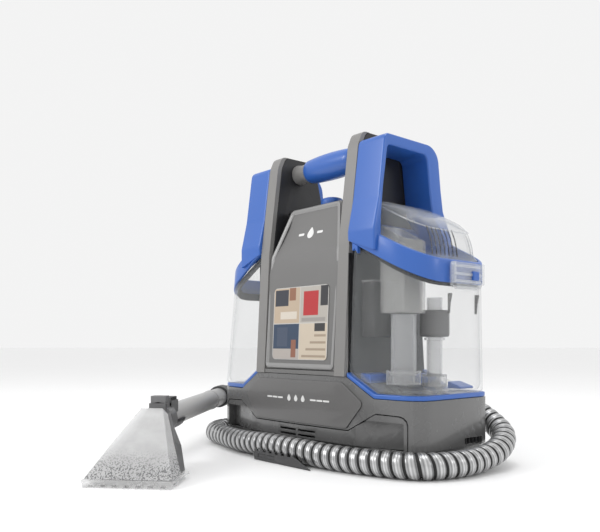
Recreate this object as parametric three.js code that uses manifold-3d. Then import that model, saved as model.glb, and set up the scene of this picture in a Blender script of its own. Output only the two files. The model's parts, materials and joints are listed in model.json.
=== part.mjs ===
// Portable carpet spot cleaner: a base that carries a centre tower with a carry handle, a clean
// water tank on its left, a dirty water tank on its right, and a stretch hose that wraps round
// the base and ends in a hand tool. Millimetres, +Z up, the front faces -Y, the floor is z = 0
// and x = 0 is the middle of the tower.
import * as THREE from "three";
import { mergeVertices } from "three/addons/utils/BufferGeometryUtils.js";
import Module from "manifold-3d";

const wasm = await Module();
wasm.setup();

// ---------------------------------------------------------------- driving dimensions
const HALF_WIDTH = 195;        // outer side of the base
const FRONT = -85;             // middle of the gently bowed front
const BACK = 75;
const FRONT_BOW = 1300;        // radius of the bow of the front
const CORNER = 26;             // plan radius of the base's corners
const WALL = 3;                // moulded wall
const GAP = 0.35;              // air between neighbouring pieces

const PAN_LOW = 4;             // underside of the base pan, the feet stand below it
const PAN_FLOOR = 7;
const SHELL_LOW = 26;          // lower edge of the base housing
const SEAT = 84;               // housing's top under the tanks
const SEAT_BEND = 131.5;       // where the seat turns up towards the tower
const TOWER_FOOT = 109;        // housing's top under the tower
const TRIM = 6;                // thickness of the blue seat trims
const TRIM_WIDTH = 9;

const TOWER_OUT = 88.5;        // outer face of the uprights
const TOWER_IN = 70;           // inner face of the uprights
const STRIP = 7;               // depth of the light strip on an upright's front
const DECK = 338;              // top of the switch deck
const BUTTON = { y: -20, radius: 16 };
const HANDLE = { y: -20, z: 396, half: 45, core: 8 };

const TANK_IN = 90;            // tank wall beside the tower
const TANK_LIFT = TRIM + GAP;  // air under a tank, above the seat line
const TANK_WALL = 2.6;
const PART_LINE = { x: 89, z: 277, slope: -0.53 };   // plane where a tank's upper half meets it
const BAND = 27;               // height of the blue band above that plane
const BAND_IN = 3.5;           // inner side of the band, inset from the tank's outside
const DOME = 38;               // height of the clear dome above the band
const ARCH_OUT = 133;          // outer face of a tank's carry arch
const LATCH = { x: 197.5, y: 13, z: 217.5, half: 30, top: 247 };
const VALVE = { x: -150, y: 20 };

const HOSE_R = 15;
const OUTLET = { x: 95, z: 60, reach: 97 };

// ---------------------------------------------------------------- solids
function signedVolume(position, index) {
  const [a, b, c] = [new THREE.Vector3(), new THREE.Vector3(), new THREE.Vector3()];
  let sum = 0;
  for (let i = 0; i < index.length; i += 3) {
    a.fromBufferAttribute(position, index[i]);
    b.fromBufferAttribute(position, index[i + 1]);
    c.fromBufferAttribute(position, index[i + 2]);
    sum += a.dot(b.cross(c)) / 6;
  }
  return sum;
}

// A closed geometry as a solid, turned so that its faces point outwards.
function solid(geometry) {
  const bare = geometry.clone();
  bare.deleteAttribute("normal");
  bare.deleteAttribute("uv");
  const merged = mergeVertices(bare, 1e-4);
  const index = Uint32Array.from(merged.index.array);
  if (signedVolume(merged.attributes.position, index) < 0) {
    for (let i = 0; i < index.length; i += 3) {
      [index[i + 1], index[i + 2]] = [index[i + 2], index[i + 1]];
    }
  }
  const vertProperties = Float32Array.from(merged.attributes.position.array);
  return new wasm.Manifold(new wasm.Mesh({ numProp: 3, vertProperties, triVerts: index }));
}

function geometryOf(body) {
  const mesh = body.getMesh();
  const geometry = new THREE.BufferGeometry();
  geometry.setAttribute("position", new THREE.BufferAttribute(Float32Array.from(mesh.vertProperties), 3));
  geometry.setIndex(new THREE.BufferAttribute(Uint32Array.from(mesh.triVerts), 1));
  return geometry;
}

const cut = (body, ...tools) => tools.reduce((rest, tool) => rest.subtract(tool), body);
const join = (...bodies) => bodies.reduce((whole, body) => whole.add(body));
const meet = (...bodies) => bodies.reduce((common, body) => common.intersect(body));

function placed(body, x, y, z, turn = [0, 0, 0]) {
  const matrix = new THREE.Matrix4().makeRotationFromEuler(new THREE.Euler(...turn));
  matrix.setPosition(x, y, z);
  return solid(geometryOf(body).applyMatrix4(matrix));
}

const mirrored = (body) => solid(geometryOf(body).scale(-1, 1, 1));

// The end face of a loft: triangles of a ring of 3-D points, seen along its main direction.
function capFaces(ring) {
  const normal = new THREE.Vector3();
  ring.forEach((p, i) => {
    const q = ring[(i + 1) % ring.length];
    normal.x += (p.y - q.y) * (p.z + q.z);
    normal.y += (p.z - q.z) * (p.x + q.x);
    normal.z += (p.x - q.x) * (p.y + q.y);
  });
  const size = [Math.abs(normal.x), Math.abs(normal.y), Math.abs(normal.z)];
  const main = size.indexOf(Math.max(...size));
  const [u, v] = [["y", "z"], ["z", "x"], ["x", "y"]][main];
  const flat = ring.map((p) => new THREE.Vector2(p[u], p[v]));
  const order = flat.map((_, i) => i);
  if (THREE.ShapeUtils.isClockWise(flat)) {
    flat.reverse();
    order.reverse();
  }
  const faces = THREE.ShapeUtils.triangulateShape(flat, []).map((face) => face.map((i) => order[i]));
  const along = normal.getComponent(main) > 0;
  return along ? faces : faces.map(([a, b, c]) => [a, c, b]);
}

// A skin through rings with the same number of points, closed by its first and last ring.
function loft(rings) {
  const count = rings[0].length;
  const index = [];
  for (let k = 0; k + 1 < rings.length; k += 1) {
    for (let i = 0; i < count; i += 1) {
      const j = (i + 1) % count;
      const [a, b, c, d] = [k * count + i, k * count + j, (k + 1) * count + j, (k + 1) * count + i];
      index.push(a, b, c, a, c, d);
    }
  }
  capFaces(rings[0]).forEach(([a, b, c]) => index.push(a, c, b));
  const last = (rings.length - 1) * count;
  capFaces(rings[rings.length - 1]).forEach(([a, b, c]) => index.push(last + a, last + b, last + c));
  const geometry = new THREE.BufferGeometry().setFromPoints(rings.flat());
  geometry.setIndex(index);
  return solid(geometry);
}

// Replaces each corner [x, y, r] of a closed outline by an arc of radius r.
function rounded(corners, steps = 3) {
  const points = [];
  corners.forEach(([x, y, r = 0], i) => {
    const before = corners[(i + corners.length - 1) % corners.length];
    const after = corners[(i + 1) % corners.length];
    if (r <= 0) {
      points.push([x, y]);
      return;
    }
    const back = new THREE.Vector2(before[0] - x, before[1] - y).normalize();
    const on = new THREE.Vector2(after[0] - x, after[1] - y).normalize();
    const half = Math.acos(THREE.MathUtils.clamp(back.dot(on), -1, 1)) / 2;
    const middle = back.clone().add(on).normalize().multiplyScalar(r / Math.sin(half));
    const centre = new THREE.Vector2(x, y).add(middle);
    const first = new THREE.Vector2(x, y).addScaledVector(back, r / Math.tan(half)).sub(centre);
    const last = new THREE.Vector2(x, y).addScaledVector(on, r / Math.tan(half)).sub(centre);
    const turn = Math.atan2(first.x * last.y - first.y * last.x, first.dot(last));
    for (let k = 0; k <= steps; k += 1) {
      const p = first.clone().rotateAround(new THREE.Vector2(), (turn * k) / steps).add(centre);
      points.push([p.x, p.y]);
    }
  });
  return points;
}

const prism = (outline, low, high, place) =>
  loft([low, high].map((end) => outline.map(([a, b]) => place(a, b, end))));
const prismX = (outline, x0, x1) => prism(outline, x0, x1, (y, z, x) => new THREE.Vector3(x, y, z));
const prismY = (outline, y0, y1) => prism(outline, y1, y0, (x, z, y) => new THREE.Vector3(x, y, z));
const prismZ = (outline, z0, z1) => prism(outline, z0, z1, (x, y, z) => new THREE.Vector3(x, y, z));
const box = (x0, x1, y0, y1, z0, z1) => prismZ([[x0, y0], [x1, y0], [x1, y1], [x0, y1]], z0, z1);

// A closed profile [radius, z] turned about the z axis.
function turned(profile, segments = 16) {
  const points = [...profile, profile[0]].map(([r, z]) => new THREE.Vector2(r, z));
  return solid(new THREE.LatheGeometry(points, segments).rotateX(Math.PI / 2));
}

const disc = (radius, z0, z1, segments = 16) =>
  turned([[0, z0], [radius, z0], [radius, z1], [0, z1]], segments);
const pipe = (inner, outer, z0, z1, segments = 16) =>
  turned([[inner, z0], [outer, z0], [outer, z1], [inner, z1]], segments);

// A round section of the given number of sides drawn along a curve.
function tube(curve, radius, steps, sides = 12) {
  const section = new THREE.Shape();
  for (let i = 0; i < sides; i += 1) {
    const angle = (2 * Math.PI * i) / sides;
    section[i ? "lineTo" : "moveTo"](radius * Math.cos(angle), radius * Math.sin(angle));
  }
  section.closePath();
  return solid(new THREE.ExtrudeGeometry(section, { steps, bevelEnabled: false, extrudePath: curve }));
}

const curveThrough = (points) =>
  new THREE.CatmullRomCurve3(points.map((p) => new THREE.Vector3(...p)), false, "centripetal");

// ---------------------------------------------------------------- materials
function plastic(color, roughness, opacity = 1) {
  return new THREE.MeshStandardMaterial({
    color, roughness, metalness: 0, opacity, transparent: opacity < 1,
  });
}

const MATERIALS = {
  blue: plastic(0x3f74c8, 0.35),
  grey: plastic(0x6b6b6b, 0.4),
  light: plastic(0xa5a3a0, 0.45),
  dark: plastic(0x262626, 0.5),
  black: plastic(0x0c0c0c, 0.6),
  clear: plastic(0xe6ebee, 0.08, 0.3),
  rubber: plastic(0x1a1a1a, 0.8),
  white: plastic(0xe8e8e6, 0.5),
  hose: plastic(0xb4b6b8, 0.4),
  metal: new THREE.MeshStandardMaterial({ color: 0x9a9a9c, roughness: 0.3, metalness: 1 }),
};

const machine = new THREE.Group();

function add(name, body, material, parent = machine) {
  const mesh = new THREE.Mesh(geometryOf(body), MATERIALS[material]);
  mesh.name = name;
  parent.add(mesh);
  return mesh;
}

// ---------------------------------------------------------------- shared outlines
const frontAt = (x) => FRONT + (x * x) / (2 * FRONT_BOW);

// The base's plan, moved inwards by inset (outwards when negative).
function basePlan(inset, radius = Math.max(CORNER - inset, 4)) {
  const side = HALF_WIDTH - inset;
  const bow = [-120, -80, -40, 0, 40, 80, 120].map((x) => [x, frontAt(x) + inset]);
  const front = frontAt(side) + inset;
  return rounded([
    [-side, BACK - inset, radius], [-side, front, radius], ...bow,
    [side, front, radius], [side, BACK - inset, radius],
  ]);
}

// A slab through the whole depth below the seat line raised by lift: flat under the tanks,
// rising to the tower.
function belowSeat(lift, low = -50) {
  return prismY([
    [-250, low], [250, low], [250, SEAT + lift], [SEAT_BEND, SEAT + lift],
    [TOWER_OUT, TOWER_FOOT + lift], [-TOWER_OUT, TOWER_FOOT + lift],
    [-SEAT_BEND, SEAT + lift], [-250, SEAT + lift],
  ], -150, 150);
}

// ---------------------------------------------------------------- base
// Outline of the front skirt, made smaller all round by shrink.
function skirtOutline(shrink) {
  const half = 178 - shrink;
  return rounded([
    [-half, 20], [-half, 66 - shrink, 10], [-134 + shrink * 0.3, 67 - shrink], [-92, 44 - shrink],
    [92, 44 - shrink], [134 - shrink * 0.3, 67 - shrink], [half, 66 - shrink, 10], [half, 20],
  ]);
}

// Wedge recess in the front skirt: it starts flush near the middle and deepens outwards.
function skirtPocket(side) {
  const plan = [[104, -100], [173, -100], [173, -60], [104, -80.6]];
  return prismZ(plan.map(([x, y]) => [side * x, y]), 0, 58);
}

const FEET = { x: 150, front: -48, rear: 44 };

function makePan() {
  const floor = prismZ(basePlan(5), PAN_LOW, PAN_FLOOR);
  const wall = cut(
    prismZ(basePlan(5), PAN_LOW, 34), prismZ(basePlan(5 + WALL), PAN_FLOOR - 1, 60),
    box(-181, 181, -150, -50, SHELL_LOW - 0.5, 60),
  );
  const restBoss = box(-20, 20, -12, 12, 0, PAN_FLOOR - 1);
  const sockets = [];
  for (const side of [-1, 1]) {
    for (const row of ["front", "rear"]) {
      const foot = turned([[0, 0], [11, 0], [12, 1], [12, 3.6], [8, 3.6], [8, 5.6], [0, 5.6]], 16);
      add(`foot_${row}_${side > 0 ? "right" : "left"}`, foot, "rubber")
        .position.set(side * FEET.x, FEET[row], 0);
      sockets.push(placed(disc(8.4, 0, 6, 16), side * FEET.x, FEET[row], 0));
    }
  }
  add("base_pan", cut(join(floor, wall, restBoss), ...sockets), "grey");
}

function makeHousing() {
  const outer = meet(prismZ(basePlan(0), SHELL_LOW, 140), belowSeat(0));
  const inner = meet(prismZ(basePlan(WALL), 0, 140), belowSeat(-WALL));
  const skirtRoom = prismY(skirtOutline(0), -150, -30);
  const ventHole = box(185, 200, 14, 50, 28.5, 36);
  const portHole = placed(disc(14, -6, 6), OUTLET.x, BACK - 1, OUTLET.z, [Math.PI / 2, 0, 0]);
  const valveWell = placed(disc(17, 60, 110), VALVE.x, VALVE.y, 0);
  add("base_housing", cut(outer, inner, skirtRoom, ventHole, portHole, valveWell), "grey");

  const block = meet(prismZ(basePlan(0), SHELL_LOW, 140), prismY(skirtOutline(1.2), -150, -54));
  const relief = box(-96, 96, -80, 0, 0, 140);
  const slots = [];
  for (const z of [29.5, 36]) {
    slots.push(box(-35, -2, -100, -60, z - 1.3, z + 1.3), box(2, 35, -100, -60, z - 1.3, z + 1.3));
  }
  add("front_skirt", cut(block, relief, skirtPocket(-1), skirtPocket(1), ...slots), "grey");

  const badgeOutline = rounded([
    [-90, 46], [90, 46], [117, 78, 6], [83, 102, 4], [-83, 102, 4], [-117, 78, 6],
  ]);
  const badge = cut(
    meet(prismZ(basePlan(-1.8), 30, 120), prismY(badgeOutline, -150, -40)),
    prismZ(basePlan(-GAP), 0, 200),
  );
  add("badge_panel", badge, "grey");

  const rim = meet(
    cut(prismZ(basePlan(0.6), 60, 160), prismZ(basePlan(TRIM_WIDTH + 1), 0, 200)),
    belowSeat(TRIM, 0),
  );
  const seatTrim = cut(rim, belowSeat(GAP), box(-TOWER_OUT - GAP, TOWER_OUT + GAP, -150, 150, 0, 200));
  add("seat_trim_right", meet(seatTrim, box(0, 250, -150, 150, 0, 200)), "blue");
  add("seat_trim_left", meet(seatTrim, box(-250, 0, -150, 150, 0, 200)), "blue");

  const valveSeat = turned([
    [0, 48], [20, 48], [20, 80.5], [15.5, 80.5], [15.5, 52], [4, 52], [4, 66], [0, 66],
  ]);
  add("valve_seat", valveSeat, "dark").position.set(VALVE.x, VALVE.y, 0);
}

// Low cradle on the base's front edge: a plate under the hose and a toothed lip before it.
function makeCradle() {
  const front = -139;
  const lip = prismY([[-22, 0.4], [86, 0.4], [52, 14], [-22, 14]], front, front + 2.4);
  const plate = box(-22, 52, front, -58, 0.4, 2.4);
  const notches = [];
  for (let x = -16; x < 46; x += 12) {
    notches.push(box(x, x + 6, front - 1, front + 4, 11.4, 20));
  }
  const recess = box(-14, 20, front - 1, front + 0.9, 4, 8.6);
  add("hose_cradle", cut(join(lip, plate), recess, ...notches), "dark");
}

// ---------------------------------------------------------------- tower
const UPRIGHT = [
  [-85, TOWER_FOOT + GAP], [72, TOWER_FOOT + GAP], [60, 250, 40], [30, 340, 60], [15, 400, 20],
  [4, 418, 12], [-52, 418, 10], [-60, 400, 20], [-76, 277, 60],
];
const PANEL_CURVE = [[-82.5, 115.5], [-76, 250], [-71, 272], [-62.5, 292], [-56, 311], [-50.5, 337.6]];
const COVER_LINE = [[71.2, 111], [59.2, 250], [30.5, 337.6]];
const PANEL_WALL = 3.2;

// A sheet of the given thickness whose outer face follows a line of [y, z] points.
function bentSheet(line, thick, half) {
  return prismX([...line, ...line.map(([y, z]) => [y + thick, z]).reverse()], -half, half);
}

// y of the rear cover's outer face at a height below its bend.
function coverFace(z) {
  const [from, to] = COVER_LINE;
  return from[0] + ((to[0] - from[0]) * (z - from[1])) / (to[1] - from[1]);
}

function makeUprights() {
  const upright = prismX(rounded(UPRIGHT), TOWER_IN, TOWER_OUT);
  const socket = placed(disc(HANDLE.core + GAP, 60, 76, 16), 0, HANDLE.y, HANDLE.z, [0, Math.PI / 2, 0]);
  const side = cut(meet(upright, placed(upright, 0, STRIP + GAP, 0)), socket);
  const strip = cut(upright, placed(upright, 0, STRIP, 0));
  add("upright_right", side, "dark");
  add("upright_left", mirrored(side), "dark");
  add("strip_right", strip, "light");
  add("strip_left", mirrored(strip), "light");
}

function makeTower() {
  const inside = TOWER_IN - GAP;
  const shield = prismY(rounded([
    [-inside, 115], [inside, 115], [inside, 272, 20], [49, 338, 6], [-49, 338, 6], [-inside, 272, 20],
  ]), -150, 0);
  add("tower_front", meet(bentSheet(PANEL_CURVE, PANEL_WALL, inside), shield), "grey");

  const proud = PANEL_CURVE.map(([y, z]) => [y - 0.95, z]);
  const labelOutline = rounded([[-55, 128.5, 6], [55, 128.5, 6], [55, 226, 6], [-55, 226, 6]]);
  add("picture_label", meet(bentSheet(proud, 0.6, 60), prismY(labelOutline, -150, 0)), "white");

  const ventSlots = [];
  for (let k = 0; k < 6; k += 1) {
    ventSlots.push(box(-38, 38, 40, 90, 158 + k * 9, 162 + k * 9));
  }
  add("tower_back", cut(bentSheet(COVER_LINE, -PANEL_WALL, inside), ...ventSlots), "grey");
}

function makeDeck() {
  const at = (body) => placed(body, 0, BUTTON.y, 0);
  const well = at(disc(BUTTON.radius + 0.6, 300, 400));
  const plan = rounded([[-66, -46, 4], [66, -46, 4], [66, 25.5, 4], [-66, 25.5, 4]]);
  const deck = prismZ(plan, DECK - WALL, DECK);
  const bezel = at(pipe(BUTTON.radius, BUTTON.radius + 4, DECK - 1, DECK + 2.6));
  add("switch_deck", cut(join(deck, bezel), well), "dark");
  const cap = turned([
    [0, DECK + 0.5], [16, DECK + 0.5], [16, DECK + 8], [15, DECK + 11], [12, DECK + 13],
    [7, DECK + 14.5], [0, DECK + 15],
  ]);
  add("power_button", at(join(cap, disc(4, DECK - 8, DECK + 1, 12))), "blue");
  const body = cut(box(-11, 11, -9, 9, DECK - 26, DECK - WALL - GAP), disc(5, DECK - 13, DECK, 12));
  add("power_switch", at(body), "black");
}

function makeHandle() {
  const lay = (body) => placed(body, 0, HANDLE.y, HANDLE.z, [0, Math.PI / 2, 0]);
  const bore = HANDLE.core + GAP;
  add("handle_core", lay(disc(HANDLE.core, -74, 74, 16)), "metal");
  const grip = turned([
    [bore, -HANDLE.half], [15, -HANDLE.half], [16, -43], [17.2, -32], [18.6, -14], [18.6, 14],
    [17.2, 32], [16, 43], [15, HANDLE.half], [bore, HANDLE.half],
  ]);
  add("handle_grip", lay(grip), "blue");
  const start = HANDLE.half + GAP;
  const end = TOWER_IN - GAP;
  const collar = lay(turned([[bore, start], [12.5, start], [12.5, 60], [14.5, end], [bore, end]]));
  add("handle_collar_right", collar, "light");
  add("handle_collar_left", mirrored(collar), "light");
}

// ---------------------------------------------------------------- tanks
const partLine = (x) => PART_LINE.z + PART_LINE.slope * (x - PART_LINE.x);

// Plan of the right-hand tank at a height: upwards it narrows, leans back and gets rounder.
function tankPlan(inset, z) {
  const lower = THREE.MathUtils.clamp((z - 88) / 147, 0, 1);
  const upper = THREE.MathUtils.clamp((z - 235) / 105, 0, 1);
  const side = HALF_WIDTH - 0.5 - 2.5 * lower - 2 * upper - inset;
  const front = (x) => frontAt(x) + 0.8 + 6 * lower + 8 * upper + inset;
  const back = BACK - 2 - inset;
  const inner = TANK_IN + inset;
  const corner = (radius) => Math.max(radius - inset, 2);
  return rounded([
    [inner, back, corner(8)], [inner, front(inner), corner(7)], [135, front(135)],
    [side, front(side - 20), corner(CORNER + 19 * lower)], [side, back, corner(30)],
  ], 4);
}

const ringAt = (plan, height) => plan.map(([x, y]) => new THREE.Vector3(x, y, height(x)));
const tankSolid = (inset) => loft([60, 88, 161, 235, 380].map((z) => ringAt(tankPlan(inset, z), () => z)));

// The part of the right-hand tank's space between two heights above the parting plane.
function slantSlab(low, high) {
  const [from, to] = [60, 230];
  return prismY([
    [from, partLine(from) + low], [to, partLine(to) + low],
    [to, partLine(to) + high], [from, partLine(from) + high],
  ], -150, 150);
}

function reservoirBody() {
  const outer = meet(cut(tankSolid(0), belowSeat(TANK_LIFT)), slantSlab(-400, -GAP));
  return cut(outer, cut(tankSolid(TANK_WALL), belowSeat(TANK_LIFT + TANK_WALL)));
}

// The carry arch seen from the side: legs that stand on the band, and a hand opening.
function archBody(widen = 0) {
  const outline = rounded([
    [-79.5, 250], [-79.5, 288, 20], [-70, 327, 40], [-59.5, 405, 7], [43, 405, 22], [50, 350, 30],
    [55, 320, 20], [72, 292, 8], [72, 250], [60, 250], [60, 282, 8], [32, 316, 14], [21, 391, 7],
    [-54, 391, 6], [-62.5, 340, 20], [-66, 300], [-66, 250],
  ]);
  return prismX(outline, TOWER_OUT + GAP - widen, ARCH_OUT + widen);
}

function frameBody() {
  const band = meet(cut(tankSolid(-1.2), tankSolid(BAND_IN)), slantSlab(0, BAND));
  const toothShape = prismY([[98, 258], [108, 252], [108, 268], [98, 274]], -150, 0);
  const tooth = meet(cut(tankSolid(-1.2), tankSolid(-GAP)), toothShape);
  const legs = meet(cut(archBody(), tankSolid(BAND_IN)), slantSlab(0, 300));
  const above = cut(archBody(), slantSlab(-400, BAND));
  return join(band, tooth, legs, above);
}

// Room for the arch: its outline pushed out by GAP on every side, and all that lies before its
// front leg and behind its rear leg.
function archRoom() {
  const arch = archBody(GAP);
  const outside = ARCH_OUT + GAP;
  const copies = [
    box(80, outside, -100, -66, 240, 335), box(80, outside, 60, 100, 240, 302),
    box(80, outside, 46, 100, 300, 335),
  ];
  for (const y of [-GAP, GAP]) {
    for (const z of [-GAP, GAP]) {
      copies.push(placed(arch, 0, y, z));
    }
  }
  return join(...copies);
}

// [inset, height above the parting plane] of the dome's skin.
const DOME_LEVELS = [
  [BAND_IN + 0.4, 3], [BAND_IN + 0.5, BAND], [8, BAND + 2], [10, BAND + 18], [17, BAND + 31],
  [38, BAND + DOME],
];

function domeSkin(inset) {
  return loft(DOME_LEVELS.map(([deep, high]) => ringAt(
    tankPlan(deep + inset, 300), (x) => partLine(x) + high - inset,
  )));
}

const domeBody = () => cut(domeSkin(0), domeSkin(2.4), archRoom());
const sealBody = () => meet(cut(tankSolid(BAND_IN + 0.4), tankSolid(7.5)), slantSlab(-6, 2.6));

function makeLatch() {
  const about = (body) => placed(body, LATCH.x, LATCH.y, LATCH.z, [Math.PI / 2, 0, 0]);
  const bore = about(disc(1.6, -60, 60, 10));
  const lugSides = [-1, 1].map((side) => LATCH.y + side * (LATCH.half - 6));
  const lugs = lugSides.map((y) => box(191, LATCH.x + 2.6, y - 2, y + 2, LATCH.z - 4, LATCH.z + 3.4));
  const lugRoom = lugSides.map((y) => box(185, LATCH.x + 9, y - 2.6, y + 2.6, LATCH.z - 6, LATCH.z + 4.6));
  add("dirty_reservoir", cut(join(reservoirBody(), ...lugs), bore), "clear");
  add("latch_pin", about(disc(1.25, -27, 27, 10)), "metal");

  const outline = rounded([
    [LATCH.y - LATCH.half, LATCH.z, 3], [LATCH.y + LATCH.half, LATCH.z, 3],
    [LATCH.y + LATCH.half, LATCH.top, 5], [LATCH.y - LATCH.half, LATCH.top, 5],
  ]);
  const plate = prismX(outline, LATCH.x - 1.5, LATCH.x + 1.7);
  const barrel = about(disc(3, 9 - LATCH.half, LATCH.half - 9, 12));
  const rib = box(193.9, LATCH.x, LATCH.y - 18, LATCH.y + 18, LATCH.top - 4.5, LATCH.top - 1);
  add("dirty_latch", cut(join(plate, barrel, rib), bore, ...lugRoom), "clear");
  add("dirty_frame", frameBody(), "blue");
}

function makeDirtyTank() {
  makeLatch();
  add("dirty_dome", domeBody(), "clear");
  add("dirty_seal", sealBody(), "rubber");

  const floor = belowSeat(TANK_LIFT + TANK_WALL + GAP);
  const standpipe = turned([[13.5, 82], [22, 82], [22, 98], [15.6, 112], [15.6, 186], [13.5, 186]]);
  const guide = turned([
    [8, 82], [16, 82], [16, 94], [10, 110], [10, 154], [13, 154], [13, 158], [10, 158],
    [10, 208], [8, 208],
  ]);
  add("standpipe", cut(placed(standpipe, 135, -28, 0), floor), "clear");
  add("float_guide", cut(placed(guide, 145, 20, 0), floor), "clear");
  add("float", pipe(10.7, 18.5, 158.5, 192), "grey").position.set(145, 20, 0);

  const duct = cut(box(116, 155, -50, -10, 187, 300), box(118.5, 152.5, -47.5, -12.5, 100, 400));
  add("separator_duct", meet(duct, slantSlab(-200, BAND + 6)), "light");
}

function makeCleanTank() {
  const well = placed(disc(14, 60, 130), VALVE.x, VALVE.y, 0);
  add("clean_reservoir", cut(mirrored(reservoirBody()), well), "clear");
  add("clean_frame", mirrored(frameBody()), "blue");
  add("clean_dome", mirrored(domeBody()), "clear");
  add("clean_seal", mirrored(sealBody()), "rubber");
  const ledge = SEAT + TANK_LIFT + TANK_WALL + GAP;
  const valve = turned([
    [0, 68], [7, 68], [7, 73], [13.6, 76], [13.6, ledge], [19, ledge], [19, ledge + 5],
    [11, ledge + 9], [0, ledge + 9],
  ]);
  add("clean_valve", valve, "blue").position.set(VALVE.x, VALVE.y, 0);
}

// ---------------------------------------------------------------- works inside the tower and base
function makeWorks() {
  const middle = -8;
  const at = (body) => placed(body, 0, middle, 0);
  const housing = cut(
    turned([[0, 166], [56, 166], [58, 172], [58, 200], [40, 210], [0, 210]]),
    turned([[0, 170], [53, 170], [54, 174], [54, 197], [38, 206], [0, 206]]),
    disc(14, 150, 178), disc(8, 200, 230),
  );
  add("fan_housing", at(housing), "black");
  const blades = [];
  for (let k = 0; k < 6; k += 1) {
    blades.push(placed(box(4, 45, -1, 1, 176, 188), 0, 0, 0, [0, 0, (k * Math.PI) / 3]));
  }
  add("suction_fan", at(join(disc(46, 187, 190), disc(6, 174, 212), ...blades)), "metal");
  add("fan_motor", at(join(disc(37, 214, 278), disc(24, 277, 290))), "metal");
  const head = placed(disc(15, 0, 30), 23, 0, 50, [0, Math.PI / 2, 0]);
  add("water_pump", placed(join(box(-24, 24, -16, 16, 34, 66), head), -60, 0, 0), "black");
}

// ---------------------------------------------------------------- hose outlet and rear fittings
function makeRear() {
  const at = (x, y) => new THREE.Vector3(x, y, OUTLET.z);
  const path = new THREE.CurvePath();
  path.add(new THREE.LineCurve3(at(OUTLET.x, BACK + 1), at(OUTLET.x, BACK + 5)));
  path.add(new THREE.QuadraticBezierCurve3(
    at(OUTLET.x, BACK + 5), at(OUTLET.x, OUTLET.reach), at(OUTLET.x + 20, OUTLET.reach),
  ));
  path.add(new THREE.LineCurve3(at(OUTLET.x + 20, OUTLET.reach), at(OUTLET.x + 24, OUTLET.reach)));
  const plate = placed(disc(24, 0, 3), OUTLET.x, BACK + 3 + GAP, OUTLET.z, [Math.PI / 2, 0, 0]);
  const bore = placed(disc(11, -8, 12), OUTLET.x, BACK, OUTLET.z, [Math.PI / 2, 0, 0]);
  const outlet = cut(join(tube(path, 16, 8), plate), box(0, 200, 0, BACK + GAP, 0, 200), bore);
  add("hose_outlet", outlet, "grey");

  const gland = turned([[0, 0], [10, 0], [10, 4], [6, 6], [5, 20], [2.5, 20], [2.5, 2], [0, 2]], 16);
  add("cord_gland", placed(gland, -120, BACK + GAP, 48, [-Math.PI / 2, 0, 0]), "rubber");

  const hook = (z, up) => {
    const face = coverFace(z);
    const stem = placed(disc(7, up > 0 ? -0.5 : 0, 16, 16), 0, face + 1.2, z, [-Math.PI / 2, 0, 0]);
    const arm = box(-7, 7, face + 14, face + 19, Math.min(z, z + up), Math.max(z, z + up));
    return join(stem, arm);
  };
  add("cord_hook_upper", hook(228, 34), "dark");
  add("cord_hook_lower", hook(140, -30), "dark");
}

// ---------------------------------------------------------------- hose
function makeHose() {
  const route = curveThrough([
    [142.5, 97, 60], [156, 97, 59], [178, 93, 50], [207, 77, 36], [224, 40, 24], [226, -5, 16.5],
    [222, -48, 15.4], [204, -84, 15.4], [160, -103, 15.4], [105, -115, 15.6], [45, -121, 18],
    [-20, -121, 18.3], [-80, -115, 15.6], [-140, -103, 15.4], [-184, -90, 15.4], [-211, -62, 15.4],
    [-216, -20, 15.4], [-216, 40, 15.4], [-216, 100, 15.4], [-217, 130, 15.6], [-238, 180, 20],
    [-291, 202, 27], [-344, 180, 34], [-366, 127, 40], [-347, 77, 47], [-303, 28, 58],
    [-269, -9.8, 64], [-257.4, -22.8, 64.6],
  ]);
  add("hose", tube(route, HOSE_R, 60, 8), "hose");
  const cuff = turned([[12, 0], [17.5, 0], [17.5, 14], [16, 21], [12, 21]], 20);
  const cuffStart = OUTLET.x + 24 + GAP;
  add("hose_cuff", placed(cuff, cuffStart, OUTLET.reach, OUTLET.z, [0, Math.PI / 2, 0]), "grey");
}

// ---------------------------------------------------------------- hand tool
// The tool has its own frame: its lip stands on the floor at y = 0 and the wand runs along +y,
// rising by a small angle from WAND.low.
const TOOL = { x: 28, y: -341, turn: 41.9 };
const WAND = { low: 58.9, rise: 4 / 300, start: 97, end: 385, radius: 14 };
const TRIGGER_PIN = { y: 103, z: 35, radius: 1.4, hole: 1.8 };

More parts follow.
